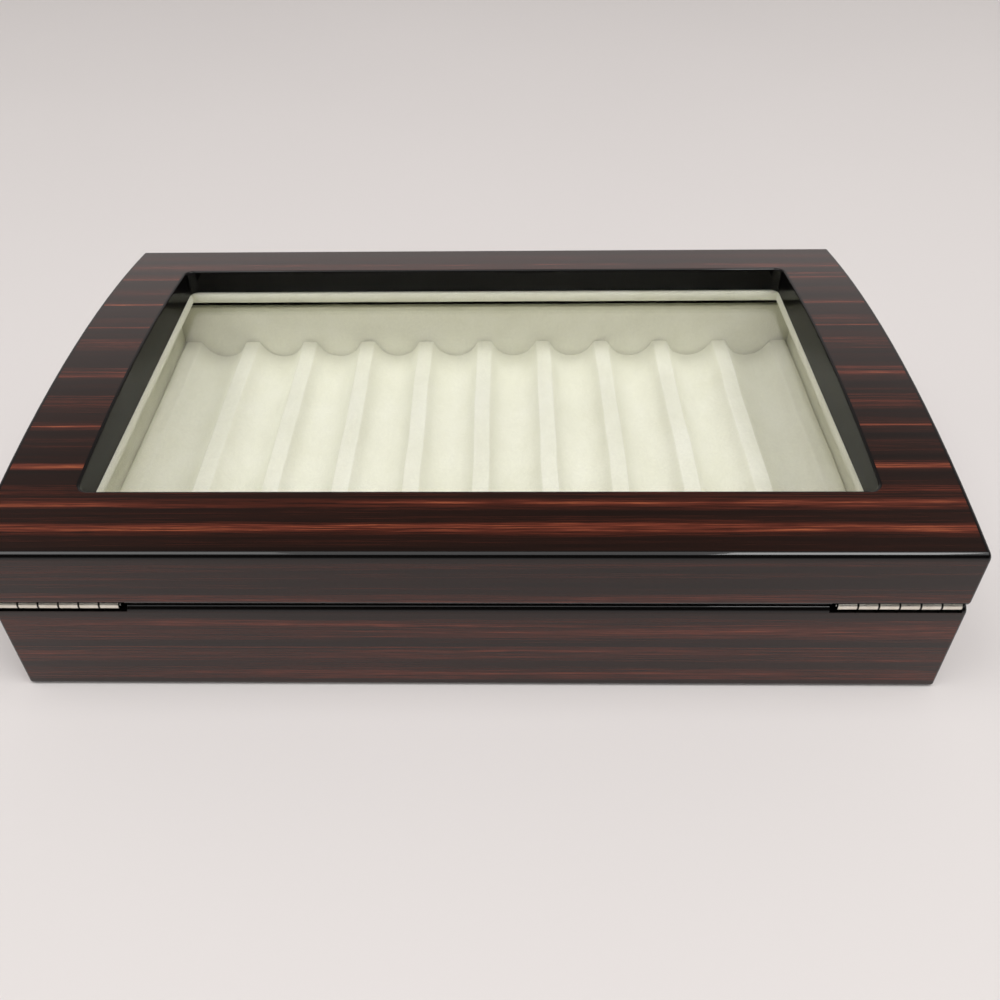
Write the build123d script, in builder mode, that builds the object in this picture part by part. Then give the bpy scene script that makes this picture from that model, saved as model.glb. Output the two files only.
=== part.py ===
"""Pen collector chest: a low wooden chest for ten pens with an arched, glazed lid.

Frame: +Z up, the front (the side that opens) faces -Y and the hinges are at +Y. The
origin is the middle of the underside, on the table. All sizes are in millimetres.
"""

import os
from math import asin, atan2, degrees, hypot

from build123d import *

os.makedirs("parts", exist_ok=True)

# --- overall ---------------------------------------------------------------
chest_width = 300.0
chest_depth = 194.0
base_height = 37.7  # table to the rim of the base
lid_gap = 0.1  # between the closed lid and the base
lid_edge_height = 21.8  # lid rim to the top's front and back edges
dome_rise = 7.6  # how far the lid's arch stands above those edges

# --- walls and bottom --------------------------------------------------------
base_wall = 10.0
lid_wall = 9.5
bottom_panel = 5.0
rebate_width = 5.0  # how far the bottom panel runs under the walls
felt_thickness = 1.0
felt_proud = 0.3  # the felt stands this far below the walls
felt_inset = 0.5  # gap round the felt
felt_corner = 3.0

# --- rounded edges -----------------------------------------------------------
hinge_edge_radius = 2.7  # the two edges that meet along the hinges
top_edge_radius = 2.4  # the lid's top, front and back
arris_radius = 1.4  # every other long outer edge
end_radius = 1.1  # round the outline of the left and right faces
window_arris = 0.8

# --- window ------------------------------------------------------------------
window_rail = 25.7  # width of the lid's rails round the window
window_corner = 3.5
panel_edge = 6.2  # thickness of the arched top at its front and back edges
glass_thickness = 2.0
glass_lap = 6.0  # how far the pane runs under the rails
glass_clearance = 0.3  # round the edge of the pane
bead_lip = 4.3  # thickness of the bead under the pane
bead_round = 0.9

# --- linings and tray ----------------------------------------------------------
lining_thickness = 2.5  # front and back
end_lining_thickness = 3.0  # left and right
lining_drop = 0.5  # the linings stop this far below the rim
lining_round = 0.8
tray_clearance = 0.3
ridge_height = 20.5  # table to the top of the ridges
groove_count = 10
groove_depth = 7.6
ridge_width = 7.0
ridge_round = 1.8
tray_ledge = 4.2  # flat at each end of the tray, beyond the grooves' spacing

# --- hinges ------------------------------------------------------------------
hinge_length = 38.0
hinge_end_inset = 2.0  # from the chest's side to the hinge
knuckle_count = 6
knuckle_radius = 1.5
knuckle_gap = 0.2
pin_radius = 0.75
pin_clearance = 0.05
pin_proud = 0.1
leaf_thickness = 1.0
leaf_width = 6.9  # from the pin's axis to the leaf's inner edge
leaf_clearance = 0.1
pocket_half_height = 2.1
pocket_clearance = 0.3  # behind the barrel and past its outer end
pocket_run_out = 1.9  # past its inner end

# --- hinge screws --------------------------------------------------------------
screw_shank_radius = 0.85
screw_head_radius = 1.7
screw_length = 8.0
screw_tip = 1.4
screw_clearance = 0.05
screw_spacing = 18.0
screw_slot_width = 0.5
screw_slot_depth = 0.4
countersink_angle = 90.0  # the head's cone is as steep

# --- levels and places that follow -------------------------------------------
wall_foot_z = felt_proud
panel_low_z = felt_thickness
panel_high_z = panel_low_z + bottom_panel
lid_rim_z = base_height + lid_gap
lid_edge_z = lid_rim_z + lid_edge_height
lid_top_z = lid_edge_z + dome_rise
glass_high_z = lid_edge_z - panel_edge
glass_low_z = glass_high_z - glass_thickness
bead_low_z = glass_low_z - bead_lip
lining_high_z = base_height - lining_drop

front_y = -chest_depth / 2
back_y = chest_depth / 2
window_width = chest_width - 2 * window_rail
window_depth = chest_depth - 2 * window_rail
glass_width = window_width + 2 * glass_lap
glass_depth = window_depth + 2 * glass_lap
inner_width = chest_width - 2 * base_wall
inner_depth = chest_depth - 2 * base_wall
tray_width = inner_width - 2 * end_lining_thickness - 2 * tray_clearance
tray_depth = inner_depth - 2 * lining_thickness - 2 * tray_clearance
groove_pitch = (tray_width - 2 * tray_ledge) / groove_count
groove_half = (groove_pitch - ridge_width) / 2
groove_radius = (groove_half**2 + groove_depth**2) / (2 * groove_depth)

axis_y = back_y - knuckle_radius  # the barrel lies flush with the back
axis_z = base_height + lid_gap / 2
hinge_outer_x = chest_width / 2 - hinge_end_inset
hinge_inner_x = hinge_outer_x - hinge_length
hinge_middle_x = (hinge_outer_x + hinge_inner_x) / 2
knuckle_pitch = hinge_length / knuckle_count
barrel_room = knuckle_radius + pocket_clearance
screw_y = axis_y - (barrel_room + leaf_width) / 2
screw_places = [
    (side * hinge_middle_x + step * screw_spacing / 2, screw_y)
    for side in (-1, 1)
    for step in (-1, 1)
]

# The lid opens until its rounded back edge meets the base's. Both edges are circles
# seen from the pin: the line through the pin that touches one is at half the angle.
edge_centre_y = knuckle_radius - hinge_edge_radius
edge_centre_z = hinge_edge_radius + lid_gap / 2
edge_distance = hypot(edge_centre_y, edge_centre_z)
stop_angle = 2 * degrees(atan2(edge_centre_z, edge_centre_y) - asin(hinge_edge_radius / edge_distance))
print(f"the lid meets its stop at {stop_angle:.1f} degrees")


def save(part, name):
    """Label a finished piece and write its file."""
    part.label = name
    export_step(part, f"parts/{name}.step")


def side_sectors():
    """The plan of each side: what lies nearest to it, bounded by the mitres."""
    half_x = chest_width / 2
    half_y = chest_depth / 2
    reach = min(half_x, half_y) - 1
    outer = [(-half_x, -half_y), (half_x, -half_y), (half_x, half_y), (-half_x, half_y)]
    inner = [(x - reach if x > 0 else x + reach, y - reach if y > 0 else y + reach) for x, y in outer]
    order = {"front": (0, 1), "right": (1, 2), "back": (2, 3), "left": (3, 0)}
    return {side: [outer[a], outer[b], inner[b], inner[a]] for side, (a, b) in order.items()}


def mitred_pieces(ring, pattern):
    """Cut a closed frame at its mitres into four pieces and save each one."""
    for side, corners in side_sectors().items():
        with BuildPart() as piece:
            add(ring)
            with BuildSketch(Plane.XY):
                with BuildLine():
                    Polyline(*corners, close=True)
                make_face()
            extrude(amount=lid_top_z, mode=Mode.INTERSECT)
        save(piece.part, pattern.format(side))


split = Plane.XY.offset(axis_z)  # the lid's hinge parts mirror the base's about it


# --- what the hinges need out of the base's rim; the lid's rim has the same -----
with BuildPart() as base_hinge_cuts:
    for side in (-1, 1):
        pocket_x = side * (hinge_middle_x + (pocket_clearance - pocket_run_out) / 2)
        with BuildSketch(split):
            with Locations((pocket_x, axis_y - barrel_room)):
                Rectangle(
                    hinge_length + pocket_run_out + pocket_clearance,
                    barrel_room + 2 * knuckle_radius,
                    align=(Align.CENTER, Align.MIN),
                )
        extrude(amount=pocket_half_height, both=True)
        with BuildSketch(Plane.XY.offset(base_height)):
            with Locations((side * hinge_middle_x, axis_y)):
                Rectangle(
                    hinge_length + 2 * leaf_clearance,
                    leaf_width + leaf_clearance,
                    align=(Align.CENTER, Align.MAX),
                )
        extrude(amount=leaf_thickness, both=True)
    with BuildSketch(Plane.XY.offset(base_height)):
        with Locations(*screw_places):
            Circle(screw_shank_radius + screw_clearance)
    extrude(amount=-screw_length - screw_clearance)

with BuildPart() as lid_hinge_cuts:
    mirror(base_hinge_cuts.part, about=split)


# --- base walls: a rebated frame, rounded outside, cut at its mitres ------------
with BuildPart() as base_frame:
    with BuildSketch(Plane.YZ):
        with BuildLine():
            FilletPolyline(
                (front_y, wall_foot_z),
                (back_y, wall_foot_z),
                (back_y, base_height),
                (front_y, base_height),
                radius=[arris_radius, arris_radius, hinge_edge_radius, arris_radius],
                close=True,
            )
        make_face()
    extrude(amount=chest_width / 2, both=True)
    end_faces = base_frame.faces().filter_by(Axis.X)
    fillet(end_faces.edges(), radius=end_radius)
    with BuildSketch(Plane.XY.offset(wall_foot_z)):
        Rectangle(inner_width, inner_depth)
    extrude(amount=base_height, mode=Mode.SUBTRACT)
    with BuildSketch(Plane.XY.offset(wall_foot_z)):
        Rectangle(inner_width + 2 * rebate_width, inner_depth + 2 * rebate_width)
    extrude(amount=panel_high_z - wall_foot_z, mode=Mode.SUBTRACT)
    add(base_hinge_cuts.part, mode=Mode.SUBTRACT)

mitred_pieces(base_frame.part, "base_{}_wall")


# --- bottom panel in the rebate, felt under it ---------------------------------
with BuildPart() as base_bottom_panel:
    with BuildSketch(Plane.XY.offset(panel_low_z)):
        Rectangle(inner_width + 2 * rebate_width, inner_depth + 2 * rebate_width)
    extrude(amount=bottom_panel)

save(base_bottom_panel.part, "base_bottom_panel")

with BuildPart() as base_felt:
    with BuildSketch(Plane.XY):
        RectangleRounded(
            inner_width + 2 * (rebate_width - felt_inset),
            inner_depth + 2 * (rebate_width - felt_inset),
            felt_corner,
        )
    extrude(amount=felt_thickness)

save(base_felt.part, "base_felt")


# --- linings: velvet-covered boards that stand on the bottom panel --------------
def lining(name, middle, width, depth):
    """A board on the bottom panel with soft upper edges, just below the rim."""
    with BuildPart() as board:
        with BuildSketch(Plane.XY.offset(panel_high_z)):
            with Locations(middle):
                Rectangle(width, depth)
        extrude(amount=lining_high_z - panel_high_z)
        fillet(board.faces().sort_by(Axis.Z)[-1].edges(), radius=lining_round)
    save(board.part, name)


long_lining_y = (inner_depth - lining_thickness) / 2
end_lining_x = (inner_width - end_lining_thickness) / 2
end_lining_length = inner_depth - 2 * lining_thickness
lining("lining_front", (0, -long_lining_y), inner_width, lining_thickness)
lining("lining_back", (0, long_lining_y), inner_width, lining_thickness)
lining("lining_left", (-end_lining_x, 0), end_lining_thickness, end_lining_length)
lining("lining_right", (end_lining_x, 0), end_lining_thickness, end_lining_length)


# --- pen tray: a pad with ten round-bottomed grooves between flat ridges --------
with BuildPart() as pen_tray:
    with BuildSketch(Plane.XZ) as tray_section:
        with Locations((0, panel_high_z)):
            Rectangle(tray_width, ridge_height - panel_high_z, align=(Align.CENTER, Align.MIN))
        with Locations((0, ridge_height - groove_depth + groove_radius)):
            with GridLocations(groove_pitch, 0, groove_count, 1):
                Circle(groove_radius, mode=Mode.SUBTRACT)
        ridge_points = tray_section.vertices().filter_by_position(
            Axis.X, -tray_width / 2, tray_width / 2, inclusive=(False, False)
        )
        fillet(ridge_points, radius=ridge_round)
    extrude(amount=tray_depth / 2, both=True)

save(pen_tray.part, "pen_tray")


# --- lid walls: a frame under the arched top, cut at its mitres ----------------
with BuildPart() as lid_frame:
    with BuildSketch(Plane.YZ):
        with BuildLine():
            FilletPolyline(
                (front_y, lid_rim_z),
                (back_y, lid_rim_z),
                (back_y, glass_high_z),
                (front_y, glass_high_z),
                radius=[arris_radius, hinge_edge_radius, 0, 0],
                close=True,
            )
        make_face()
    extrude(amount=chest_width / 2, both=True)
    end_faces = lid_frame.faces().filter_by(Axis.X)
    outline = end_faces.edges().filter_by(lambda edge: edge.center().Z < glass_high_z)
    fillet(outline, radius=end_radius)
    with BuildSketch(Plane.XY.offset(lid_rim_z)):
        Rectangle(chest_width - 2 * lid_wall, chest_depth - 2 * lid_wall)
    extrude(amount=lid_edge_height, mode=Mode.SUBTRACT)
    add(lid_hinge_cuts.part, mode=Mode.SUBTRACT)

mitred_pieces(lid_frame.part, "lid_{}_wall")


# --- lid top: arched from front to back, with the window through it ------------
with BuildPart() as lid_top_panel:
    with BuildSketch(Plane.YZ) as arch:
        with BuildLine():
            Polyline(
                (front_y, lid_edge_z),
                (front_y, glass_high_z),
                (back_y, glass_high_z),
                (back_y, lid_edge_z),
            )
            ThreePointArc((back_y, lid_edge_z), (0, lid_top_z), (front_y, lid_edge_z))
        make_face()
        fillet(arch.vertices().group_by(Axis.Y)[-1], radius=top_edge_radius)
    extrude(amount=chest_width / 2, both=True)
    end_faces = lid_top_panel.faces().filter_by(Axis.X)
    outline = end_faces.edges().filter_by(lambda edge: edge.center().Z > glass_high_z)
    fillet(outline, radius=end_radius)
    with BuildSketch(Plane.XY.offset(glass_high_z)):
        RectangleRounded(window_width, window_depth, window_corner)
    extrude(amount=lid_top_z, mode=Mode.SUBTRACT)
    window_rim = (
        lid_top_panel.edges()
        .filter_by(Axis.Z, reverse=True)
        .filter_by_position(Axis.X, -window_width / 2, window_width / 2)
        .filter_by_position(Axis.Y, -window_depth / 2, window_depth / 2)
        .filter_by_position(Axis.Z, lid_edge_z, lid_top_z)
    )
    fillet(window_rim, radius=window_arris)

save(lid_top_panel.part, "lid_top_panel")


# --- window glass, up against the top panel, and the beads that hold it --------
with BuildPart() as window_glass:
    with BuildSketch(Plane.XY.offset(glass_low_z)):
        Rectangle(glass_width - 2 * glass_clearance, glass_depth - 2 * glass_clearance)
    extrude(amount=glass_thickness)

save(window_glass.part, "window_glass")

with BuildPart() as bead_frame:
    with BuildSketch(Plane.XY.offset(bead_low_z)):
        Rectangle(chest_width - 2 * lid_wall, chest_depth - 2 * lid_wall)
        Rectangle(window_width, window_depth, mode=Mode.SUBTRACT)
    extrude(amount=glass_high_z - bead_low_z)
    with BuildSketch(Plane.XY.offset(glass_low_z)):
        Rectangle(glass_width, glass_depth)
    extrude(amount=glass_thickness, mode=Mode.SUBTRACT)
    inner_edges = bead_frame.edges().group_by(Axis.Z)[0].sort_by(SortBy.LENGTH)[:4]
    fillet(inner_edges, radius=bead_round)

mitred_pieces(bead_frame.part, "glass_bead_{}")


# --- hinges: two leaves with three knuckles each, on a pin ----------------------
def hinge_leaf(first_knuckle):
    """A leaf of the right-hand hinge, let into the base, with every other knuckle."""
    knuckle_starts = [
        hinge_inner_x + index * knuckle_pitch + knuckle_gap / 2
        for index in range(first_knuckle, knuckle_count, 2)
    ]
    with BuildPart() as leaf:
        with BuildSketch(Plane.XY.offset(base_height)):
            with Locations((hinge_middle_x, axis_y - barrel_room)):
                Rectangle(hinge_length, leaf_width - barrel_room, align=(Align.CENTER, Align.MAX))
        extrude(amount=-leaf_thickness)
        for start in knuckle_starts:
            with BuildSketch(Plane.YZ.offset(start)):
                with Locations((axis_y, axis_z)):
                    Circle(knuckle_radius)
                with Locations((axis_y, base_height)):
                    Rectangle(barrel_room, leaf_thickness, align=(Align.MAX, Align.MAX))
            extrude(amount=knuckle_pitch - knuckle_gap)
        with BuildSketch(Plane.YZ.offset(hinge_inner_x)):
            with Locations((axis_y, axis_z)):
                Circle(pin_radius + pin_clearance)
        extrude(amount=hinge_length, mode=Mode.SUBTRACT)
        with Locations(*[(x, y, base_height) for x, y in screw_places if x > 0]):
            CounterSinkHole(
                screw_shank_radius + screw_clearance,
                screw_head_radius + screw_clearance,
                depth=leaf_thickness,
                counter_sink_angle=countersink_angle,
            )
    return leaf.part


def save_pair(right_piece, name):
    """Save a right-hand piece and its mirror image on the left."""
    with BuildPart() as left_piece:
        mirror(right_piece, about=Plane.YZ)
    save(right_piece, f"{name}_right")
    save(left_piece.part, f"{name}_left")


save_pair(hinge_leaf(first_knuckle=0), "hinge_base_leaf")

with BuildPart() as hinge_lid_leaf:
    mirror(hinge_leaf(first_knuckle=1), about=split)

save_pair(hinge_lid_leaf.part, "hinge_lid_leaf")

with BuildPart() as hinge_pin:
    with BuildSketch(Plane.YZ.offset(hinge_inner_x - pin_proud)):
        with Locations((axis_y, axis_z)):
            Circle(pin_radius)
    extrude(amount=hinge_length + 2 * pin_proud)
    chamfer(hinge_pin.edges().filter_by(GeomType.CIRCLE), length=pin_proud)

save_pair(hinge_pin.part, "hinge_pin")


# --- hinge screws: countersunk, slotted, one group in the base, one in the lid --
head_height = screw_head_radius - screw_shank_radius  # of a cone of 90 degrees
shank_length = screw_length - head_height - screw_tip

with BuildPart() as hinge_screws_base:
    with Locations(*[(x, y, base_height) for x, y in screw_places]):
        Cone(
            screw_shank_radius,
            screw_head_radius,
            head_height,
            align=(Align.CENTER, Align.CENTER, Align.MAX),
        )
        Box(
            2 * screw_head_radius,
            screw_slot_width,
            screw_slot_depth,
            align=(Align.CENTER, Align.CENTER, Align.MAX),
            mode=Mode.SUBTRACT,
        )
    with Locations(*[(x, y, base_height - head_height) for x, y in screw_places]):
        Cylinder(screw_shank_radius, shank_length, align=(Align.CENTER, Align.CENTER, Align.MAX))
    with Locations(*[(x, y, base_height - screw_length) for x, y in screw_places]):
        Cone(
            0,
            screw_shank_radius,
            screw_tip,
            align=(Align.CENTER, Align.CENTER, Align.MIN),
        )

with BuildPart() as hinge_screws_lid:
    mirror(hinge_screws_base.part, about=split)

save(hinge_screws_base.part, "hinge_screws_base")
save(hinge_screws_lid.part, "hinge_screws_lid")
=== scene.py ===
"""Looks of the pen collector chest: lacquered ebony veneer, a glass pane, velvet inside and nickel hinges.

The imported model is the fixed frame. Blender lengths are metres, and the sizes below are millimetres,
which `mm` turns to metres. The hinges and the camera are on the +Y side.
"""

import math

import bpy
import numpy as np
from mathutils import Matrix


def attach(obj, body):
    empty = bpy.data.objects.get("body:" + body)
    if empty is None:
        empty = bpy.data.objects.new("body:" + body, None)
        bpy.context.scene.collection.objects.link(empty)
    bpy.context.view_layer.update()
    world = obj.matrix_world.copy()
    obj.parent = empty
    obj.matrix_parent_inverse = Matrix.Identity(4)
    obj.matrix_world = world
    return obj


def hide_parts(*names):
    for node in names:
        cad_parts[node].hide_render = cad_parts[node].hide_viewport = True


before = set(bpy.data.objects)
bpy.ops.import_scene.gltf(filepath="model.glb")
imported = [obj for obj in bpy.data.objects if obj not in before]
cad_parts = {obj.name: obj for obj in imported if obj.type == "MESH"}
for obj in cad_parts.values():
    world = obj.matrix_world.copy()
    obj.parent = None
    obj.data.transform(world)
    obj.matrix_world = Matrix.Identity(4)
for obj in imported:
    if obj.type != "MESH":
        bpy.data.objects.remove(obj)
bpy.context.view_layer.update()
mm = 0.001

# --- sizes shared with the frame, in millimetres -------------------------------------
half_width, half_depth = 150.0, 97.0
edge_z = 59.6  # the top's front and back edges
window_half = (124.3, 71.3)
window_corner = 3.5
panel_z = 6.0  # the bottom panel's upper face, under the tray and linings
rail_z = 53.4  # the underside of the top panel, against the pane
hinge_start = 110.0  # from the middle to the inner end of each hinge
knuckle_pitch = 38.0 / 6  # a hinge's length and its number of knuckles
barrel_y = 93.7  # a hinge's barrel is past this, and its leaves fall short of it


# --- mesh helpers ----------------------------------------------------------------------
def piece(name, points, faces, body, node, finish):
    """A closed mesh from points in mm and faces, riding on a body and standing for a node."""
    mesh = bpy.data.meshes.new(name)
    mesh.from_pydata((np.asarray(points, float) * mm).tolist(), [], faces)
    mesh.update()
    mesh.polygons.foreach_set("use_smooth", np.ones(len(mesh.polygons), bool))
    made = bpy.data.objects.new(name, mesh)
    bpy.context.scene.collection.objects.link(made)
    made.data.materials.append(finish)
    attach(made, body)
    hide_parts(node)
    return made


def turned_out(points, faces):
    """The faces, turned round if the volume they shut in comes out negative.
    The volume is a sixth of the sum, over each face's fan, of a . (b x c)."""
    volume = 0.0
    for face in faces:
        corner = points[list(face)]
        volume += np.einsum("j,ij->", corner[0], np.cross(corner[1:-1], corner[2:]))
    return faces if volume > 0 else [tuple(reversed(face)) for face in faces]


def loft(rings):
    """Points and faces of a closed form: ring after ring of points, joined by four-sided
    faces, with one flat face over the first ring and one over the last."""
    count, around = rings.shape[:2]
    index = np.arange(count * around).reshape(count, around)
    following = np.roll(index, -1, axis=1)
    quads = np.stack([index[:-1], following[:-1], following[1:], index[1:]], -1).reshape(-1, 4)
    faces = [tuple(quad) for quad in quads.tolist()]
    faces += [tuple(reversed(index[0].tolist())), tuple(index[-1].tolist())]
    points = rings.reshape(-1, 3)
    return points, turned_out(points, faces)


def ripple(points, size, amount, seed):
    """Points moved by slow waves: each axis gets the sum of five sines with wave vectors
    of random direction and about the given length, so a soft surface isn't dead flat."""
    sines = 5
    draw = np.random.default_rng(seed)
    moved = np.array(points, float)
    for axis in range(3):
        for _ in range(sines):
            direction = draw.normal(size=3)
            direction /= np.linalg.norm(direction)
            wave = 2 * np.pi / (size * draw.uniform(0.6, 1.6))
            phase = draw.uniform(0, 2 * np.pi)
            moved[..., axis] += amount / sines * np.sin(points @ direction * wave + phase)
    return moved


def round_corners(steps):
    """A rectangle's four corners in turn, as signs, and the directions that a quarter
    circle at each corner takes, so a point is sign * (half - radius) + radius * direction."""
    quarter = np.tile(np.linspace(0, np.pi / 2, steps), 4)
    angle = quarter + np.repeat(np.arange(4), steps) * np.pi / 2
    signs = np.stack([np.repeat([1, -1, -1, 1], steps), np.repeat([1, 1, -1, -1], steps)], -1)
    return signs, np.stack([np.cos(angle), np.sin(angle)], -1)


# --- materials: nodes ----------------------------------------------------------------
def linear(code):
    """An sRGB hex colour as linear red, green, blue and alpha."""
    parts = [int(code[i : i + 2], 16) / 255 for i in (1, 3, 5)]
    return [p / 12.92 if p <= 0.04045 else ((p + 0.055) / 1.055) ** 2.4 for p in parts] + [1.0]


def add(tree, kind, inputs=None, stops=None, **settings):
    """Adds a node with its settings, gives a colour ramp its stops, and sets or links the
    inputs. A node given as an input stands for its first output, or for the colour of a Mix
    node that mixes colours. A stop is a place with a grey level or a linear colour."""
    made = tree.nodes.new(kind)
    for name, value in settings.items():
        setattr(made, name, value)
    if stops:
        band = made.color_ramp.elements
        band[0].position, band[1].position = stops[0][0], stops[-1][0]
        for place, _ in stops[1:-1]:
            band.new(place)
        for element, (_, colour) in zip(band, stops):
            element.color = colour if isinstance(colour, list) else [colour] * 3 + [1.0]
    for key, value in (inputs or {}).items():
        if isinstance(value, bpy.types.Node):
            mixes_colour = value.type == "MIX" and value.data_type == "RGBA"
            value = value.outputs[2 if mixes_colour else 0]
        if isinstance(value, bpy.types.NodeSocket):
            tree.links.new(value, made.inputs[key])
        else:
            made.inputs[key].default_value = value
    return made


def bare_material(name):
    """A new material with an empty node tree, and that tree."""
    made = bpy.data.materials.new(name)
    made.use_nodes = True
    made.node_tree.nodes.clear()
    return made, made.node_tree


# --- materials: veneer -----------------------------------------------------------------
# The veneer sheet, measured across the grain from the middle of the lid (mm, positive
# towards the hinges, and on down the back): place, half width, strength.
brown_bands = [
    (-147, 5.0, 0.3), (-131, 6.0, 0.25), (-108, 6.0, 0.3), (-86, 3.5, 0.24), (-76, 4.5, 0.34),
    (-64, 5.0, 0.34), (-50, 4.0, 0.2), (-39, 2.4, 0.34), (-24, 4.5, 0.22), (-8, 5.0, 0.36),
    (11.2, 4.2, 0.5), (28.3, 4.2, 0.34), (41, 3.0, 0.24), (50, 3.0, 0.06), (60.4, 1.9, 0.6),
    (71.5, 2.4, 0.34), (76.8, 2.3, 0.55), (86.4, 2.9, 0.62), (103, 5.0, 0.1), (115, 3.0, 0.34),
    (129, 6.5, 0.36), (141, 4.5, 0.34), (150.5, 4.0, 0.42),
]  # fmt: skip
orange_lines = [
    (-150, 0.6, 0.5), (-139, 0.4, 0.35), (-126, 0.8, 0.4), (-112, 0.5, 0.35), (-104, 0.4, 0.3),
    (-90, 0.4, 0.3), (-84, 0.4, 0.3), (-77.4, 0.6, 0.46), (-68, 0.4, 0.3), (-62.8, 0.8, 0.8),
    (-55.6, 0.5, 0.46), (-50, 0.4, 0.34), (-39, 0.8, 0.86), (-30, 0.4, 0.24), (-20, 0.42, 0.74),
    (-15, 0.3, 0.3), (-10.8, 0.36, 0.7), (-7, 0.45, 0.9), (-3.5, 0.36, 0.7), (6.9, 0.42, 0.84),
    (10.6, 0.4, 0.44), (15.4, 0.42, 0.84), (18.5, 0.3, 0.3), (24.7, 0.42, 0.8), (28.3, 0.46, 0.95),
    (31.8, 0.4, 0.85), (34.7, 0.3, 0.4), (41, 0.46, 0.94), (44.4, 0.3, 0.36), (60.4, 1.7, 0.8),
    (70, 0.4, 0.4), (73.2, 0.4, 0.4), (75.4, 0.6, 0.52), (77.2, 0.7, 0.56), (82.2, 0.36, 0.44),
    (84.8, 0.5, 0.54), (86.3, 0.7, 0.72), (87.9, 0.5, 0.6), (90.4, 0.36, 0.34), (114.3, 0.7, 0.5),
    (121.5, 0.4, 0.24), (127.2, 0.5, 0.44), (130.2, 0.6, 0.44), (137.3, 0.7, 0.5), (143.6, 0.4, 0.36),
    (149.6, 0.6, 0.6), (153, 0.4, 0.34),
]  # fmt: skip
sheet_half = 160.0  # the sheet's stripes lie between -160 and 160 mm across the grain
stripes_per_ramp = 8  # a ramp holds 32 stops, and a stripe takes four

# Where the sheet's lines run off their straight place: how far from one side to the other
# in mm, bends per metre along and across, and detail. They wander by 0.6 mm either way over
# a hand's width, and fray by 0.2 mm over 17 mm.
waverings = (
    (1.2, (7.0, 45.0, 1.0), 1.0),
    (0.4, (60.0, 900.0, 1.0), 3.0),
)

# Patterns stretched along the grain: name, clumps per metre along and across, detail,
# roughness, the noise levels that count as least and most, and the effect of those.
grain_patterns = (
    # shades of the black ground, 200 mm long and 2.4 mm wide
    ("shade", (5.0, 420.0, 1.0), 4.0, 0.6, (0.34, 0.68), (0.02, 0.3)),
    # patches that the brown bands are made of, 100 mm long and 1.5 mm wide
    ("patch", (10.0, 650.0, 1.0), 3.0, 0.6, (0.3, 0.7), (0.25, 1.15)),
    # brighter and fainter runs of the orange lines, 110 mm long
    ("run", (9.0, 1300.0, 1.0), 2.0, 0.6, (0.3, 0.66), (0.62, 1.12)),
    # fibres, 20 mm long and 0.4 mm wide
    ("fibre", (48.0, 2500.0, 1.0), 2.0, 0.55, (0.3, 0.7), (0.6, 1.35)),
    # pores, 10 mm long, drawn 0.25 mm wide: coarser than real ones, so that they show
    ("pore", (100.0, 4000.0, 1.0), 1.0, 0.5, (0.3, 0.42), (0.72, 1.0)),
)


def striped(tree, across, stripes):
    """How strong the stripes are at a place across the sheet. Each is flat over its middle
    half and falls off to its edges. The list is shared among ramps, and the strongest of
    them counts."""
    limits = {"From Min": -sheet_half * mm, "From Max": sheet_half * mm}
    level = add(tree, "ShaderNodeMapRange", {"Value": across, **limits})
    strongest = None
    for start in range(0, len(stripes), stripes_per_ramp):
        stops = []
        for middle, half, strength in stripes[start : start + stripes_per_ramp]:
            for share, value in ((-1, 0.0), (-0.5, strength), (0.5, strength), (1, 0.0)):
                stops.append((0.5 + (middle + share * half) / (2 * sheet_half), value))
        part = add(tree, "ShaderNodeValToRGB", {"Fac": level}, stops)
        if strongest:
            part = add(tree, "ShaderNodeMath", {0: strongest, 1: part}, operation="MAXIMUM")
        strongest = part
    return strongest


def veneer_tone(tree, along, across):
    """The tone of the wood, from 0 in its black ground to 1 in its brightest stripe, at a
    place along and across the sheet: the ground's shades and the patchy brown bands added
    up, or an orange line where that is brighter, times the fibres and the pores."""
    sheet = add(tree, "ShaderNodeCombineXYZ", {0: along, 1: across})
    moved = across
    for reach, per_metre, detail in waverings:
        stretched = add(tree, "ShaderNodeVectorMath", {0: sheet, 1: per_metre}, operation="MULTIPLY")
        noise = add(tree, "ShaderNodeTexNoise", {"Vector": stretched, "Scale": 1.0, "Detail": detail})
        shift = {0: noise, 1: reach * mm, 2: moved}
        moved = add(tree, "ShaderNodeMath", shift, operation="MULTIPLY_ADD")
    middle = sum(reach for reach, _, _ in waverings) / 2 * mm
    centred = add(tree, "ShaderNodeMath", {0: moved, 1: middle}, operation="SUBTRACT")
    grain = add(tree, "ShaderNodeCombineXYZ", {0: along, 1: centred})

    effect = {}
    for name, per_metre, detail, roughness, levels, effects in grain_patterns:
        stretched = add(tree, "ShaderNodeVectorMath", {0: grain, 1: per_metre}, operation="MULTIPLY")
        clumps = {"Vector": stretched, "Scale": 1.0, "Detail": detail, "Roughness": roughness}
        noise = add(tree, "ShaderNodeTexNoise", clumps)
        limits = dict(zip(("From Min", "From Max", "To Min", "To Max"), levels + effects))
        effect[name] = add(tree, "ShaderNodeMapRange", {"Value": noise, **limits})

    patchy = {0: striped(tree, centred, brown_bands), 1: effect["patch"]}
    band = add(tree, "ShaderNodeMath", patchy, operation="MULTIPLY")
    brown = add(tree, "ShaderNodeMath", {0: effect["shade"], 1: band}, operation="ADD")
    lively = {0: striped(tree, centred, orange_lines), 1: effect["run"]}
    line = add(tree, "ShaderNodeMath", lively, operation="MULTIPLY")
    tone = add(tree, "ShaderNodeMath", {0: brown, 1: line}, operation="MAXIMUM")
    fibrous = add(tree, "ShaderNodeMath", {0: tone, 1: effect["fibre"]}, operation="MULTIPLY")
    return add(tree, "ShaderNodeMath", {0: fibrous, 1: effect["pore"]}, operation="MULTIPLY")


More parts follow.
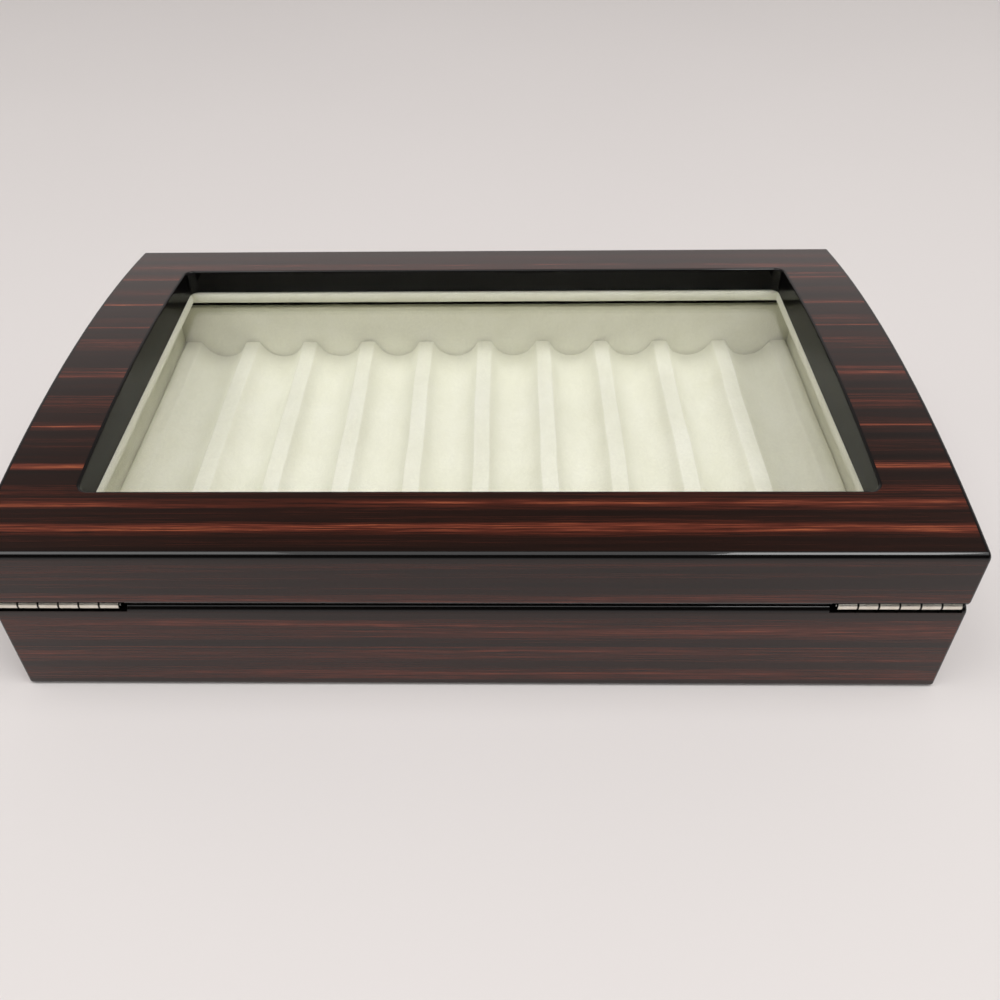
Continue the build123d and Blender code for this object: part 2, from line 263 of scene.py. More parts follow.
facing_least = 0.7  # a face looks along an axis where that part of its normal is over this
face_depth = 0.3  # a point this near to the outside is on an outer face, in mm
arch_depth = 0.8  # the same below the arch's lowest edges
end_cut_slope, end_cut_place = 0.12, -30.0  # where on the sheet the ends' veneer is cut, in mm
window_margin, end_margin = 0.9, 1.5  # black margins along the window and the ends, in mm
rim_depth = 3.0  # the thick coat reaches this far in from the outside, in mm


def sheet_place(tree, place, on_long, on_end):
    """Where a point lies on the veneer sheet, along and across the grain. Across is Y on
    top, on down the front and back from there, and Z on the ends. Each end has its own
    place on the sheet, at slope * x + a fixed place."""
    x, y, z = place
    down = add(tree, "ShaderNodeMath", {0: (half_depth + edge_z) * mm, 1: z}, operation="SUBTRACT")
    side = add(tree, "ShaderNodeMath", {0: y}, operation="SIGN")
    folded = add(tree, "ShaderNodeMath", {0: down, 1: side}, operation="MULTIPLY")
    across_long = add(tree, "ShaderNodeMix", {0: on_long, 2: y, 3: folded})
    cut = {0: x, 1: end_cut_slope, 2: end_cut_place * mm}
    end_cut = add(tree, "ShaderNodeMath", cut, operation="MULTIPLY_ADD")
    across_end = add(tree, "ShaderNodeMath", {0: z, 1: end_cut}, operation="ADD")
    across = add(tree, "ShaderNodeMix", {0: on_end, 2: across_long, 3: across_end})
    along = add(tree, "ShaderNodeMix", {0: on_end, 2: x, 3: y})
    return along, across


def outside_faces(tree, place, facing, on_long, on_end):
    """How much of the veneer and of the thick coat a point has, from 0 to 1. The veneer is
    on the flat outside only, short of a narrow margin along the window and the ends, where
    it is sanded through to black, and it gives way to black where an edge has turned by 11
    to 15 degrees. The distance from the window is that from a rectangle with its corner
    radius taken off, so the margin goes round the corners."""
    x, y, z = place
    facing_x, facing_y, facing_z = facing
    squarest = add(tree, "ShaderNodeMath", {0: facing_x, 1: facing_y}, operation="MAXIMUM")
    square = add(tree, "ShaderNodeMath", {0: squarest, 1: facing_z}, operation="MAXIMUM")
    flat = add(tree, "ShaderNodeMapRange", {"Value": square, "From Min": 0.965, "From Max": 0.983})
    far_x = add(tree, "ShaderNodeMath", {0: x}, operation="ABSOLUTE")
    far_y = add(tree, "ShaderNodeMath", {0: y}, operation="ABSOLUTE")
    face_x = {0: far_x, 1: (half_width - face_depth) * mm}
    face_y = {0: far_y, 1: (half_depth - face_depth) * mm}
    face_z = {0: z, 1: (edge_z - arch_depth) * mm}
    outer_x = add(tree, "ShaderNodeMath", face_x, operation="GREATER_THAN")
    outer_y = add(tree, "ShaderNodeMath", face_y, operation="GREATER_THAN")
    outer_z = add(tree, "ShaderNodeMath", face_z, operation="GREATER_THAN")
    up = add(tree, "ShaderNodeMath", {0: facing_z, 1: facing_least}, operation="GREATER_THAN")
    end_face = add(tree, "ShaderNodeMath", {0: outer_x, 1: on_end}, operation="MULTIPLY")
    long_face = add(tree, "ShaderNodeMath", {0: outer_y, 1: on_long}, operation="MULTIPLY")
    top_face = add(tree, "ShaderNodeMath", {0: outer_z, 1: up}, operation="MULTIPLY")

    inner_x = {0: far_x, 1: (window_half[0] - window_corner) * mm}
    inner_y = {0: far_y, 1: (window_half[1] - window_corner) * mm}
    past_x = add(tree, "ShaderNodeMath", inner_x, operation="SUBTRACT")
    past_y = add(tree, "ShaderNodeMath", inner_y, operation="SUBTRACT")
    past = add(tree, "ShaderNodeCombineXYZ", {0: past_x, 1: past_y})
    beyond = add(tree, "ShaderNodeVectorMath", {0: past, 1: (0.0, 0.0, 0.0)}, operation="MAXIMUM")
    from_corner = add(tree, "ShaderNodeVectorMath", {0: beyond}, operation="LENGTH").outputs["Value"]
    window_side = {0: from_corner, 1: (window_corner + window_margin) * mm}
    end_side = {0: far_x, 1: (half_width - end_margin) * mm}
    off_window = add(tree, "ShaderNodeMath", window_side, operation="GREATER_THAN")
    off_end = add(tree, "ShaderNodeMath", end_side, operation="LESS_THAN")
    off_margin = add(tree, "ShaderNodeMath", {0: off_window, 1: off_end}, operation="MULTIPLY")
    top_veneer = add(tree, "ShaderNodeMath", {0: top_face, 1: off_margin}, operation="MULTIPLY")
    sides = add(tree, "ShaderNodeMath", {0: end_face, 1: long_face}, operation="MAXIMUM")
    outside = add(tree, "ShaderNodeMath", {0: sides, 1: top_veneer}, operation="MAXIMUM")
    veneered = add(tree, "ShaderNodeMath", {0: outside, 1: flat}, operation="MULTIPLY")

    near_end = {0: far_x, 1: (half_width - rim_depth) * mm}
    near_long = {0: far_y, 1: (half_depth - rim_depth) * mm}
    rim_x = add(tree, "ShaderNodeMath", near_end, operation="GREATER_THAN")
    rim_y = add(tree, "ShaderNodeMath", near_long, operation="GREATER_THAN")
    rim = add(tree, "ShaderNodeMath", {0: rim_x, 1: rim_y}, operation="MAXIMUM")
    polished = add(tree, "ShaderNodeMath", {0: rim, 1: top_face}, operation="MAXIMUM")
    return veneered, polished


def ebony_veneer():
    """Macassar ebony veneer, sliced, under polished polyester lacquer: a near-black ground
    with red-brown stripes that run the length of the chest, deep and wet-looking. Every
    rounded edge, the window's walls and all that faces inwards is black lacquer."""
    made, tree = bare_material("macassar_ebony_veneer_polished_lacquer")
    coordinates = add(tree, "ShaderNodeTexCoord")
    point = coordinates.outputs["Object"]
    place = add(tree, "ShaderNodeSeparateXYZ", {0: point}).outputs
    unsigned = add(tree, "ShaderNodeVectorMath", {0: coordinates.outputs["Normal"]}, operation="ABSOLUTE")
    facing = add(tree, "ShaderNodeSeparateXYZ", {0: unsigned}).outputs
    on_end = add(tree, "ShaderNodeMath", {0: facing[0], 1: facing_least}, operation="GREATER_THAN")
    on_long = add(tree, "ShaderNodeMath", {0: facing[1], 1: facing_least}, operation="GREATER_THAN")

    along, across = sheet_place(tree, place, on_long, on_end)
    wood_stops = [
        (0.0, linear("#130A07")),
        (0.2, linear("#22110C")),
        (0.42, linear("#401C13")),
        (0.68, linear("#6A3224")),
        (1.0, linear("#AA5F3C")),
    ]
    wood = add(tree, "ShaderNodeValToRGB", {"Fac": veneer_tone(tree, along, across)}, wood_stops)
    veneered, polished = outside_faces(tree, place, facing, on_long, on_end)
    mixed = {0: veneered, 6: linear("#070606"), 7: wood}
    colour = add(tree, "ShaderNodeMix", mixed, data_type="RGBA")

    # a thick coat outside and a thin one inside, in faint waves 17 mm long from polishing
    coat = add(tree, "ShaderNodeMapRange", {"Value": polished, "To Min": 0.35, "To Max": 1.0})
    wide = add(tree, "ShaderNodeVectorMath", {0: point, "Scale": 60.0}, operation="SCALE")
    wave = add(tree, "ShaderNodeTexNoise", {"Vector": wide, "Scale": 1.0, "Detail": 2.0})
    bump = add(tree, "ShaderNodeBump", {"Height": wave, "Strength": 0.05, "Distance": 0.0003})
    surface = add(
        tree,
        "ShaderNodeBsdfPrincipled",
        {
            "Base Color": colour,
            "Roughness": 0.45,
            "Specular IOR Level": 0.02,
            "Coat Weight": coat,
            "Coat IOR": 1.46,
            "Coat Roughness": 0.045,
            "Coat Normal": bump,
        },
    )
    add(tree, "ShaderNodeOutputMaterial", {0: surface})
    return made


# --- materials: glass, cloth, board and metal ----------------------------------------------
def clear_glass():
    """Float glass, 2 mm: colourless, mirror-smooth. Light from the lamps and from the
    velvet passes it unbent, so the inside is lit without caustics."""
    made, tree = bare_material("float_glass_clear")
    inputs = {"Base Color": linear("#FBFCFA"), "Roughness": 0.0, "IOR": 1.52, "Transmission Weight": 1.0}
    glass = add(tree, "ShaderNodeBsdfPrincipled", inputs)
    clear = add(tree, "ShaderNodeBsdfTransparent", {"Color": linear("#FFFFFF")})
    path = add(tree, "ShaderNodeLightPath").outputs
    rays = {0: path["Is Shadow Ray"], 1: path["Is Diffuse Ray"]}
    unbent = add(tree, "ShaderNodeMath", rays, operation="MAXIMUM")
    mixed = add(tree, "ShaderNodeMixShader", {0: unbent, 1: glass, 2: clear})
    add(tree, "ShaderNodeOutputMaterial", {0: mixed})
    return made


def cream_velvet():
    """Cotton velvet, cut pile: cream, soft and matt, brushed into faint lighter and darker
    patches 14 to 22 mm long, with a pale bloom where the pile is seen edge-on. Real pile
    stands 0.1 mm apart, and its grain is drawn 0.4 mm wide, with clumps of 1.1 mm, so that
    it shows. Deep in the grooves, from 20 down to 13 mm, the velvet is painted a little
    darker: painted shade where the grooves are deep."""
    made, tree = bare_material("cotton_velvet_cut_pile_cream")
    place = add(tree, "ShaderNodeTexCoord").outputs["Object"]
    stroked = add(tree, "ShaderNodeVectorMath", {0: place, 1: (70.0, 45.0, 70.0)}, operation="MULTIPLY")
    soft = {"Vector": stroked, "Scale": 1.0, "Detail": 3.0, "Roughness": 0.6}
    clumped = {"Vector": place, "Scale": 900.0, "Detail": 2.0, "Roughness": 0.6}
    fine = {"Vector": place, "Scale": 2600.0, "Detail": 2.0, "Roughness": 0.7}
    patches = add(tree, "ShaderNodeTexNoise", soft)
    specks = add(tree, "ShaderNodeTexNoise", clumped)
    pile = add(tree, "ShaderNodeTexNoise", fine)
    cream = [(0.3, linear("#F1F0DE")), (0.55, linear("#F6F5E5")), (0.75, linear("#F9F8EA"))]
    brushed = add(tree, "ShaderNodeValToRGB", {"Fac": patches}, cream)
    limits = {"From Min": 0.25, "From Max": 0.75, "To Min": 0.94, "To Max": 1.04}
    speckled = add(tree, "ShaderNodeMapRange", {"Value": specks, **limits})
    # painted shade: the colour falls to 0.93 from 20 mm down to 13 mm, darkening the bottoms of the grooves
    height = add(tree, "ShaderNodeSeparateXYZ", {0: place}).outputs[2]
    limits = {"From Min": 13.0 * mm, "From Max": 20.0 * mm, "To Min": 0.93, "To Max": 1.0}
    pressed = add(tree, "ShaderNodeMapRange", {"Value": height, **limits})
    shaded = add(tree, "ShaderNodeMath", {0: speckled, 1: pressed}, operation="MULTIPLY")
    mixed = {0: 1.0, 6: brushed, 7: shaded}
    colour = add(tree, "ShaderNodeMix", mixed, data_type="RGBA", blend_type="MULTIPLY")
    nap = add(tree, "ShaderNodeBump", {"Height": pile, "Strength": 0.3, "Distance": 0.0004})
    clumps = {"Height": specks, "Strength": 0.3, "Distance": 0.0006, "Normal": nap}
    lay = add(tree, "ShaderNodeBump", clumps)
    surface = add(
        tree,
        "ShaderNodeBsdfPrincipled",
        {
            "Base Color": colour,
            "Roughness": 0.95,
            "Specular IOR Level": 0.1,
            "Sheen Weight": 0.8,
            "Sheen Roughness": 0.5,
            "Sheen Tint": linear("#FFFFF0"),
            "Normal": lay,
        },
    )
    add(tree, "ShaderNodeOutputMaterial", {0: surface})
    return made


def black_felt():
    """Wool felt, pressed: dull black, matted fibres 0.5 mm apart, in tufts of 6 mm."""
    made, tree = bare_material("wool_felt_pressed_black")
    place = add(tree, "ShaderNodeTexCoord").outputs["Object"]
    matted = {"Vector": place, "Scale": 1800.0, "Detail": 4.0, "Roughness": 0.75}
    fibres = add(tree, "ShaderNodeTexNoise", matted)
    tufts = add(tree, "ShaderNodeTexNoise", {"Vector": place, "Scale": 160.0, "Detail": 2.0})
    tone = add(tree, "ShaderNodeMath", {0: fibres, 1: tufts}, operation="MULTIPLY")
    greys = [(0.12, linear("#0D0D0D")), (0.3, linear("#1D1C1C")), (0.45, linear("#2E2C2B"))]
    colour = add(tree, "ShaderNodeValToRGB", {"Fac": tone}, greys)
    bump = add(tree, "ShaderNodeBump", {"Height": fibres, "Strength": 0.8, "Distance": 0.0005})
    dull = {"Roughness": 0.97, "Specular IOR Level": 0.1, "Sheen Weight": 0.25}
    surface = add(tree, "ShaderNodeBsdfPrincipled", {"Base Color": colour, "Normal": bump, **dull})
    add(tree, "ShaderNodeOutputMaterial", {0: surface})
    return made


def fibreboard():
    """Medium-density fibreboard, sanded: flat tan with fine darker fibres 1 mm long."""
    made, tree = bare_material("fibreboard_sanded")
    place = add(tree, "ShaderNodeTexCoord").outputs["Object"]
    pressed = {"Vector": place, "Scale": 900.0, "Detail": 4.0, "Roughness": 0.7}
    fibres = add(tree, "ShaderNodeTexNoise", pressed)
    clouds = add(tree, "ShaderNodeTexNoise", {"Vector": place, "Scale": 40.0, "Detail": 3.0})
    tone = add(tree, "ShaderNodeMath", {0: fibres, 1: clouds}, operation="MULTIPLY")
    tans = [(0.1, linear("#7A5B3E")), (0.25, linear("#9C7A57")), (0.42, linear("#B49470"))]
    colour = add(tree, "ShaderNodeValToRGB", {"Fac": tone}, tans)
    bump = add(tree, "ShaderNodeBump", {"Height": fibres, "Strength": 0.2, "Distance": 0.0002})
    surface = add(tree, "ShaderNodeBsdfPrincipled", {"Base Color": colour, "Roughness": 0.8, "Normal": bump})
    add(tree, "ShaderNodeOutputMaterial", {0: surface})
    return made


def metal(name, dark, light, roughness, knuckled=False):
    """A metal with faint hairlines along X and slightly uneven gloss. The hairlines are
    0.17 mm apart and 3 mm long, drawn coarser than real ones so that they show. On a
    knuckled barrel the ends of the knuckles are painted dark, about 0.3 mm each: painted shade in the gaps
    between the knuckles."""
    made, tree = bare_material(name)
    place = add(tree, "ShaderNodeTexCoord").outputs["Object"]
    drawn = add(tree, "ShaderNodeVectorMath", {0: place, 1: (300.0, 6000.0, 6000.0)}, operation="MULTIPLY")
    lines = add(tree, "ShaderNodeTexNoise", {"Vector": drawn, "Scale": 1.0, "Detail": 2.0, "Roughness": 0.6})
    clouds = add(tree, "ShaderNodeTexNoise", {"Vector": place, "Scale": 350.0, "Detail": 3.0})
    shades = [(0.3, linear(dark)), (0.7, linear(light))]
    colour = add(tree, "ShaderNodeValToRGB", {"Fac": clouds}, shades)
    if knuckled:
        # painted shade: the barrel turns dark (#1B1A18) within 0.22 to 0.4 mm of each gap between knuckles,
        # as the shade in those gaps
        x, y, _ = add(tree, "ShaderNodeSeparateXYZ", {0: place}).outputs
        far_x = add(tree, "ShaderNodeMath", {0: x}, operation="ABSOLUTE")
        run = add(tree, "ShaderNodeMath", {0: far_x, 1: hinge_start * mm}, operation="SUBTRACT")
        nearest = add(tree, "ShaderNodeMath", {0: run, 1: knuckle_pitch * mm / 2}, operation="PINGPONG")
        limits = {"From Min": 0.22 * mm, "From Max": 0.4 * mm}
        clear_of_gap_shade = add(tree, "ShaderNodeMapRange", {"Value": nearest, **limits})
        on_leaf = add(tree, "ShaderNodeMath", {0: y, 1: barrel_y * mm}, operation="LESS_THAN")
        bright = add(tree, "ShaderNodeMath", {0: clear_of_gap_shade, 1: on_leaf}, operation="MAXIMUM")
        mixed = {0: bright, 6: linear("#1B1A18"), 7: colour}
        colour = add(tree, "ShaderNodeMix", mixed, data_type="RGBA")
    limits = {"From Min": 0.3, "From Max": 0.7, "To Min": roughness * 0.8, "To Max": roughness * 1.3}
    uneven = add(tree, "ShaderNodeMapRange", {"Value": lines, **limits})
    bump = add(tree, "ShaderNodeBump", {"Height": lines, "Strength": 0.25, "Distance": 0.00005})
    inputs = {"Base Color": colour, "Metallic": 1.0, "Roughness": uneven, "Normal": bump}
    surface = add(tree, "ShaderNodeBsdfPrincipled", inputs)
    add(tree, "ShaderNodeOutputMaterial", {0: surface})
    return made


ebony = ebony_veneer()
glass = clear_glass()
velvet = cream_velvet()
felt = black_felt()
board = fibreboard()
# nickel plate, bright, on stamped steel: warm grey, clear but slightly soft reflections
nickel = metal("nickel_plate_on_stamped_steel", "#DFD9CB", "#EDE8DD", 0.32, knuckled=True)
# drawn steel, plain: a cooler, darker grey
steel = metal("drawn_steel_pin", "#A9A8A6", "#C2C1BE", 0.25)
# nickel plate on turned heads: the same warm grey, a little darker and sharper
screw_nickel = metal("nickel_plate_on_turned_steel", "#C4BDB0", "#D6D0C4", 0.2)

for name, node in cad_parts.items():
    if "wall" in name or name == "lid_top_panel":
        finish = ebony
    elif name == "window_glass":
        finish = glass
    elif "leaf" in name:
        finish = nickel
    elif "pin" in name:
        finish = steel
    elif "screws" in name:
        finish = screw_nickel
    else:
        finish = board
    for slot in node.material_slots:
        slot.material = finish


# --- pen tray ----------------------------------------------------------------------------
tray_half = (136.7, 84.2)
ridge_top, groove_depth = 20.5, 7.6
groove_count, groove_pitch, ridge_width = 10, 26.5, 7.0
tray_edge_round = 1.3
ridge_crown = 0.3  # a ridge stands this much higher along its middle
shoulder = 3.0  # how much height the smooth minimum rounds over, between groove and ridge
past_circle = 3.0  # beyond its circle a groove's side goes on up this steeply
swayed_half = 120.0  # the ridges sway within this half width, and the tray's ends don't


def tray_height(x, y):
    """Height of the padded tray over its plan. Each groove is an arc of a circle whose
    sagitta is the groove's depth, the ridges are slightly crowned, and a smooth minimum
    rounds the shoulder between them. Within the edge's radius r of the outline, a quarter
    circle takes the height down: r - sqrt(r^2 - (r - d)^2)."""
    half = (groove_pitch - ridge_width) / 2
    radius = (half**2 + groove_depth**2) / (2 * groove_depth)
    nearest = np.clip(np.floor(x / groove_pitch + groove_count / 2), 0, groove_count - 1)
    off = np.abs(x - (nearest + 0.5 - groove_count / 2) * groove_pitch)
    fallen = radius - np.sqrt(np.maximum(radius**2 - off**2, 0))
    arc = ridge_top - groove_depth + (fallen + past_circle * np.maximum(off - radius, 0))
    from_middle = np.clip((half + ridge_width / 2 - off) / (ridge_width / 2), 0, 1)
    crown = ridge_top - ridge_crown * from_middle**2
    mixing = np.clip(0.5 + 0.5 * (arc - crown) / shoulder, 0, 1)
    height = arc * (1 - mixing) + crown * mixing - shoulder * mixing * (1 - mixing)
    inset = np.minimum(tray_half[0] - np.abs(x), tray_half[1] - np.abs(y))
    reach = np.clip(tray_edge_round - inset, 0, tray_edge_round)
    return height - (tray_edge_round - np.sqrt(tray_edge_round**2 - reach**2))


def eased(half, edge, fine, coarse):
    """Places from -half to half: steps of `fine` within `edge` of each end, else `coarse`."""
    near = np.arange(0, edge, fine)
    middle = np.linspace(-half + edge, half - edge, round((2 * half - 2 * edge) / coarse) + 1)
    return np.concatenate([-half + near, middle, half - near[::-1]])


def pen_tray():
    """The tray: a height over a plan for its top, straight sides and a flat foot. Two sines
    along the grooves sway the ridges by up to 0.2 mm, and the velvet ripples by as much."""
    columns = eased(tray_half[0], tray_edge_round, 0.16, 0.34)
    rows = eased(tray_half[1], tray_edge_round, 0.16, 2.4)
    x, y = np.meshgrid(columns, rows, indexing="ij")
    sway = 0.16 * np.sin(y * 0.06 + x * 0.06) + 0.06 * np.sin(y * 0.21 + x * 0.11)
    top = np.stack([x, y, tray_height(x + sway * (np.abs(x) < swayed_half), y)], -1)
    top = ripple(top, 40.0, 0.2, 4)
    top[..., 0] = np.clip(top[..., 0], -tray_half[0], tray_half[0])
    top[..., 1] = np.clip(top[..., 1], -tray_half[1], tray_half[1])
    count_x, count_y = x.shape
    index = np.arange(count_x * count_y).reshape(count_x, count_y)
    quads = np.stack([index[:-1, :-1], index[1:, :-1], index[1:, 1:], index[:-1, 1:]], -1).reshape(-1, 4)
    rim = np.concatenate([index[:-1, 0], index[-1, :-1], index[:0:-1, -1], index[0, :0:-1]])
    foot = top.reshape(-1, 3)[rim].copy()
    foot[:, 2] = panel_z
    low = count_x * count_y + np.arange(len(rim))
    walls = np.stack([low, np.roll(low, -1), np.roll(rim, -1), rim], -1)
    points = np.concatenate([top.reshape(-1, 3), foot])
    faces = [tuple(quad) for quad in np.concatenate([quads, walls]).tolist()] + [tuple(low[::-1].tolist())]
    faces = turned_out(points, faces)
    tray = piece("velvet_pen_tray", points, faces, "base", "pen_tray", velvet)


# --- linings -----------------------------------------------------------------------------
lining_half = (140.0, 87.0)
lining_inner = (137.0, 84.5)
lining_top = 37.6
lining_round = 0.8


def lining(name, low, high, axis, seed):
    """A board wrapped in velvet: its section is a rectangle with round corners of radius r.
    A quarter circle rounds the ends too: at the angle t its section has the radius
    r sin t, at r (1 - cos t) from the end. The pile's surface ripples slightly."""
    low, high = np.array(low, float), np.array(high, float)
    middle, half = (low + high) / 2, (high - low) / 2
    thin = 1 - axis
    turn = np.linspace(0.12, np.pi / 2, 6)
    run = half[axis] - lining_round
    body = np.linspace(-run, run, int(2 * run / 3.0))
    end = run + lining_round * np.cos(turn[:-1])
    stations = np.concatenate([-end, body, end[::-1]])
    grown = np.sin(turn[:-1])
    radius = lining_round * np.concatenate([grown, np.ones(len(body)), grown[::-1]])
    signs, directions = round_corners(6)
    corners = signs * (half[[thin, 2]] - lining_round)
    section = corners + radius[:, None, None] * directions
    rings = np.empty(section.shape[:2] + (3,))
    rings[..., axis] = stations[:, None]
    rings[..., [thin, 2]] = section
    points, faces = loft(rings + middle)
    points = ripple(points, 18.0, 0.08, seed)
    piece("velvet_" + name, points, faces, "base", name, velvet)


def linings():
    """The four linings: the front and back ones run the whole length, and the left and
    right ones stand between them."""
    (out_x, out_y), (in_x, in_y) = lining_half, lining_inner
    lining("lining_front", (-out_x, -out_y, panel_z), (out_x, -in_y, lining_top), 0, 11)
    lining("lining_back", (-out_x, in_y, panel_z), (out_x, out_y, lining_top), 0, 12)
    lining("lining_left", (-out_x, -in_y, panel_z), (-in_x, in_y, lining_top), 1, 13)
    lining("lining_right", (in_x, -in_y, panel_z), (out_x, in_y, lining_top), 1, 14)


# --- glass beads -------------------------------------------------------------------------
bead_outer = (140.5, 87.5)
bead_low, pane_low = 46.8, 51.4
bead_width, bead_lap = 16.2, 6.0
bead_bulge = 1.0


def glass_bead(name, axis, sign, seed):
    """A bead under the pane, wrapped in velvet: an L-shaped section whose lip bulges as a
    half ellipse, 1 mm deep and as high as the lip. It is carried along one side, with its
    ends cut at the mitres, so a point nearer to the window has a shorter run. The velvet
    ripples, apart from what bears on the pane and the rails."""
    turn = np.linspace(0, np.pi, 13)
    rise = (pane_low - bead_low) / 2
    lip_out = bead_width - bead_bulge + bead_bulge * np.sin(turn)
    lip = np.stack([lip_out, bead_low + rise * (1 - np.cos(turn))], -1)
    step = bead_width - bead_lap
    heel = [[0.0, bead_low], [step, bead_low]]
    ledge = [[step, pane_low], [step, rail_z], [0.0, rail_z]]
    section = np.concatenate([heel, lip, ledge])
    share = np.linspace(-1, 1, 90)
    reach = bead_outer[axis] - section[:, 0]
    rings = np.zeros((len(share), len(section), 3))
    rings[..., axis] = share[:, None] * reach[None, :]
    rings[..., 1 - axis] = sign * (bead_outer[1 - axis] - section[:, 0])[None, :]
    rings[..., 2] = section[:, 1][None, :]
    points, faces = loft(rings)
    soft = ripple(points, 16.0, 0.06, seed)
    points = np.where(points[:, 2:] < pane_low - 0.2, soft, points)
    piece("velvet_" + name, points, faces, "lid", name, velvet)


# --- felt --------------------------------------------------------------------------------
felt_half, felt_corner, felt_thickness = (144.5, 91.5), 3.0, 1.0
felt_cut = 2.0  # the outline has a point this often
felt_edge, felt_bulge = 0.57, 0.45  # how far the faces' edges draw in, and how far less between
felt_fray = 0.12


def base_felt():
    """The felt on the underside: a rounded rectangle cut into short steps along its sides,
    whose edge bulges as a half circle between the two faces, frayed by short waves."""
    signs, directions = round_corners(8)
    corners = signs * (np.array(felt_half) - felt_corner) + felt_corner * directions
    following = np.roll(corners, -1, axis=0)
    steps = np.round(np.linalg.norm(following - corners, axis=1) / felt_cut)
    cuts = np.maximum(1, steps).astype(int)
    which = np.repeat(np.arange(len(corners)), cuts)
    share = (np.arange(cuts.sum()) - np.repeat(np.cumsum(cuts) - cuts, cuts)) / cuts[which]
    outline = corners[which] + (following - corners)[which] * share[:, None]
    outward = outline / np.linalg.norm(outline, axis=1)[:, None]
    walk = np.arange(len(outline))
    fray = felt_fray * np.sin(walk * 2.1) * np.sin(walk * 0.73 + 1)
    turn = np.linspace(0, np.pi, 7)[:, None]
    pulled = felt_edge - felt_bulge * np.sin(turn) + fray * np.sin(turn)
    rings = np.empty(pulled.shape + (3,))
    rings[..., :2] = outline - outward * pulled[..., None]
    rings[..., 2] = felt_thickness / 2 * (1 - np.cos(turn))
    points, faces = loft(rings)
    piece("felt_underside", points, faces, "base", "base_felt", felt)


pen_tray()
linings()
glass_bead("glass_bead_front", 0, -1, 21)
glass_bead("glass_bead_back", 0, 1, 22)
glass_bead("glass_bead_left", 1, -1, 23)
glass_bead("glass_bead_right", 1, 1, 24)
base_felt()


# --- floor, light and camera ---------------------------------------------------------------
def paper_floor():
    """A wide floor of matt pale paper. From 0.9 to 2.4 m away it turns into a plain pale
    background for whatever looks at it straight, in a gloss or through the pane, and it
    lights the chest as paper all the same."""
    made, tree = bare_material("matt_pale_paper")
    place = add(tree, "ShaderNodeTexCoord").outputs["Object"]
    clouds = add(tree, "ShaderNodeTexNoise", {"Vector": place, "Scale": 3.0, "Detail": 2.0})
    papers = [(0.3, linear("#DBD6D4")), (0.7, linear("#DDD8D6"))]
    tone = add(tree, "ShaderNodeValToRGB", {"Fac": clouds}, papers)
    inputs = {"Base Color": tone, "Roughness": 0.9, "Specular IOR Level": 0.1}
    surface = add(tree, "ShaderNodeBsdfPrincipled", inputs)
    glow = add(tree, "ShaderNodeEmission", {"Color": linear("#DED8D6"), "Strength": 1.0})
    away = add(tree, "ShaderNodeVectorMath", {0: place}, operation="LENGTH").outputs["Value"]
    limits = {"From Min": 0.9, "From Max": 2.4}
    far = add(tree, "ShaderNodeMapRange", {"Value": away, **limits}, interpolation_type="SMOOTHSTEP")
    path = add(tree, "ShaderNodeLightPath").outputs
    straight = {0: path["Is Camera Ray"], 1: path["Is Glossy Ray"]}
    mirrored = add(tree, "ShaderNodeMath", straight, operation="MAXIMUM")
    through = {0: mirrored, 1: path["Is Transmission Ray"]}
    seen = add(tree, "ShaderNodeMath", through, operation="MAXIMUM")
    share = add(tree, "ShaderNodeMath", {0: far, 1: seen}, operation="MULTIPLY")
    backdrop = add(tree, "ShaderNodeMixShader", {0: share, 1: surface, 2: glow})
    add(tree, "ShaderNodeOutputMaterial", {0: backdrop})
    bpy.ops.mesh.primitive_circle_add(vertices=96, radius=8.0, fill_type="NGON")
    floor = bpy.context.object
    floor.name = "paper_floor"
    floor.data.materials.append(made)


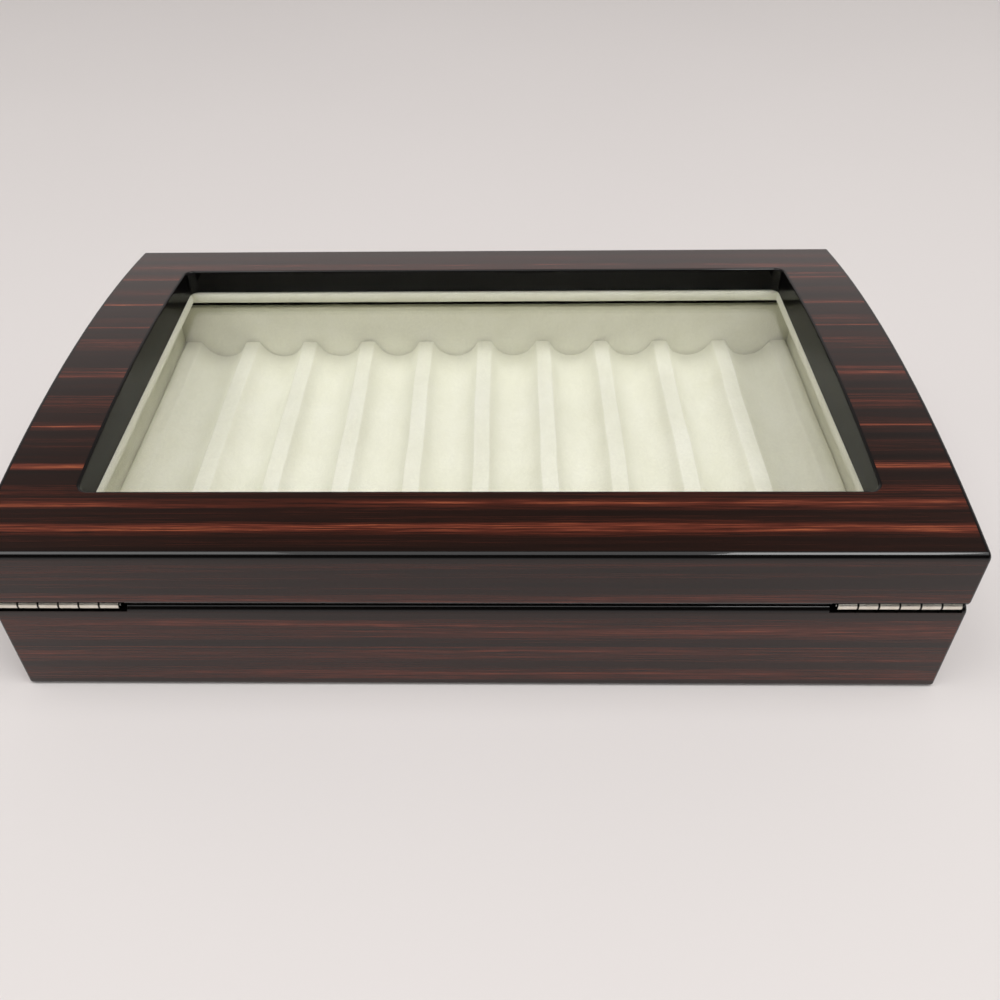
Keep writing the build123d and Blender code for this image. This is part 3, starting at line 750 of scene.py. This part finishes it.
def pale_surround():
    """Surroundings in bands by height, as a photo tent's: pale at the horizon, and falling
    to dark between 32 and 57 degrees up. A band's place is the sine of that angle. A dark
    opening on the camera's side starts at 6 degrees."""
    world = bpy.data.worlds.new("pale_surround")
    bpy.context.scene.world = world
    world.use_nodes = True
    tree = world.node_tree
    tree.nodes.clear()
    direction = add(tree, "ShaderNodeTexCoord").outputs["Generated"]
    _, toward, height = add(tree, "ShaderNodeSeparateXYZ", {0: direction}).outputs
    bands = [
        (0.0, linear("#E0DAD9")),
        (0.17, linear("#BDB7B5")),
        (0.4, linear("#C6C0BE")),
        (0.53, linear("#C4BEBC")),
        (0.7, linear("#8A8482")),
        (0.84, linear("#5C5754")),
        (1.0, linear("#5A5552")),
    ]
    sky = add(tree, "ShaderNodeValToRGB", {"Fac": height}, bands)
    behind = add(tree, "ShaderNodeMapRange", {"Value": toward, "From Min": 0.1, "From Max": 0.45})
    raised = add(tree, "ShaderNodeMapRange", {"Value": height, "From Min": 0.1, "From Max": 0.3})
    opening = add(tree, "ShaderNodeMath", {0: behind, 1: raised}, operation="MULTIPLY")
    mixed = {0: opening, 6: sky, 7: linear("#2A2725")}
    surround = add(tree, "ShaderNodeMix", mixed, data_type="RGBA")
    light = add(tree, "ShaderNodeBackground", {"Color": surround, "Strength": 1.0})
    add(tree, "ShaderNodeOutputWorld", {0: light})


def lamps():
    """Four soft lamps that shine straight down: the main lamp a metre to the left (-X), a
    weaker one to the right, a wide one overhead, and one behind the camera that fills the
    inside through the pane and isn't mirrored in glossy surfaces."""
    for name, place, width, depth, power, mirrored in (
        ("main_lamp", (-1.0, 0.7, 2.5), 0.7, 1.3, 21.0, True),
        ("second_lamp", (1.2, 0.5, 2.4), 1.2, 1.2, 9.0, True),
        ("overhead_lamp", (0.0, 0.6, 2.6), 4.4, 2.2, 50.0, True),
        ("fill_lamp", (0.2, 2.2, 1.9), 1.8, 0.9, 28.0, False),
    ):
        lamp = bpy.data.lights.new(name, "AREA")
        lamp.shape = "RECTANGLE"
        lamp.size, lamp.size_y = width, depth
        lamp.energy = power
        holder = bpy.data.objects.new(name, lamp)
        holder.location = place
        holder.visible_glossy = mirrored
        bpy.context.scene.collection.objects.link(holder)


def photo_camera():
    """The camera behind the chest: 256 mm above the table, tilted down and a little to one
    side, with the lens and shift that put the chest's corners where the photo has them."""
    camera = bpy.data.cameras.new("photo_camera")
    camera.sensor_width = 36.0
    camera.lens = 35.004
    camera.shift_x, camera.shift_y = 0.0170, 0.0215
    camera.clip_start, camera.clip_end = 0.01, 50.0
    holder = bpy.data.objects.new("photo_camera", camera)
    heading = Matrix.Rotation(math.radians(181.517), 4, "Z")
    tilt = Matrix.Rotation(math.radians(90 - 41.952), 4, "X")
    roll = Matrix.Rotation(math.radians(-1.019), 4, "Z")
    stand = Matrix.Translation((-0.008135, 0.300848, 0.25659))
    holder.matrix_world = stand @ heading @ tilt @ roll
    bpy.context.scene.collection.objects.link(holder)
    bpy.context.scene.camera = holder


paper_floor()
pale_surround()
lamps()
photo_camera()
bpy.context.scene.view_settings.view_transform = "Standard"
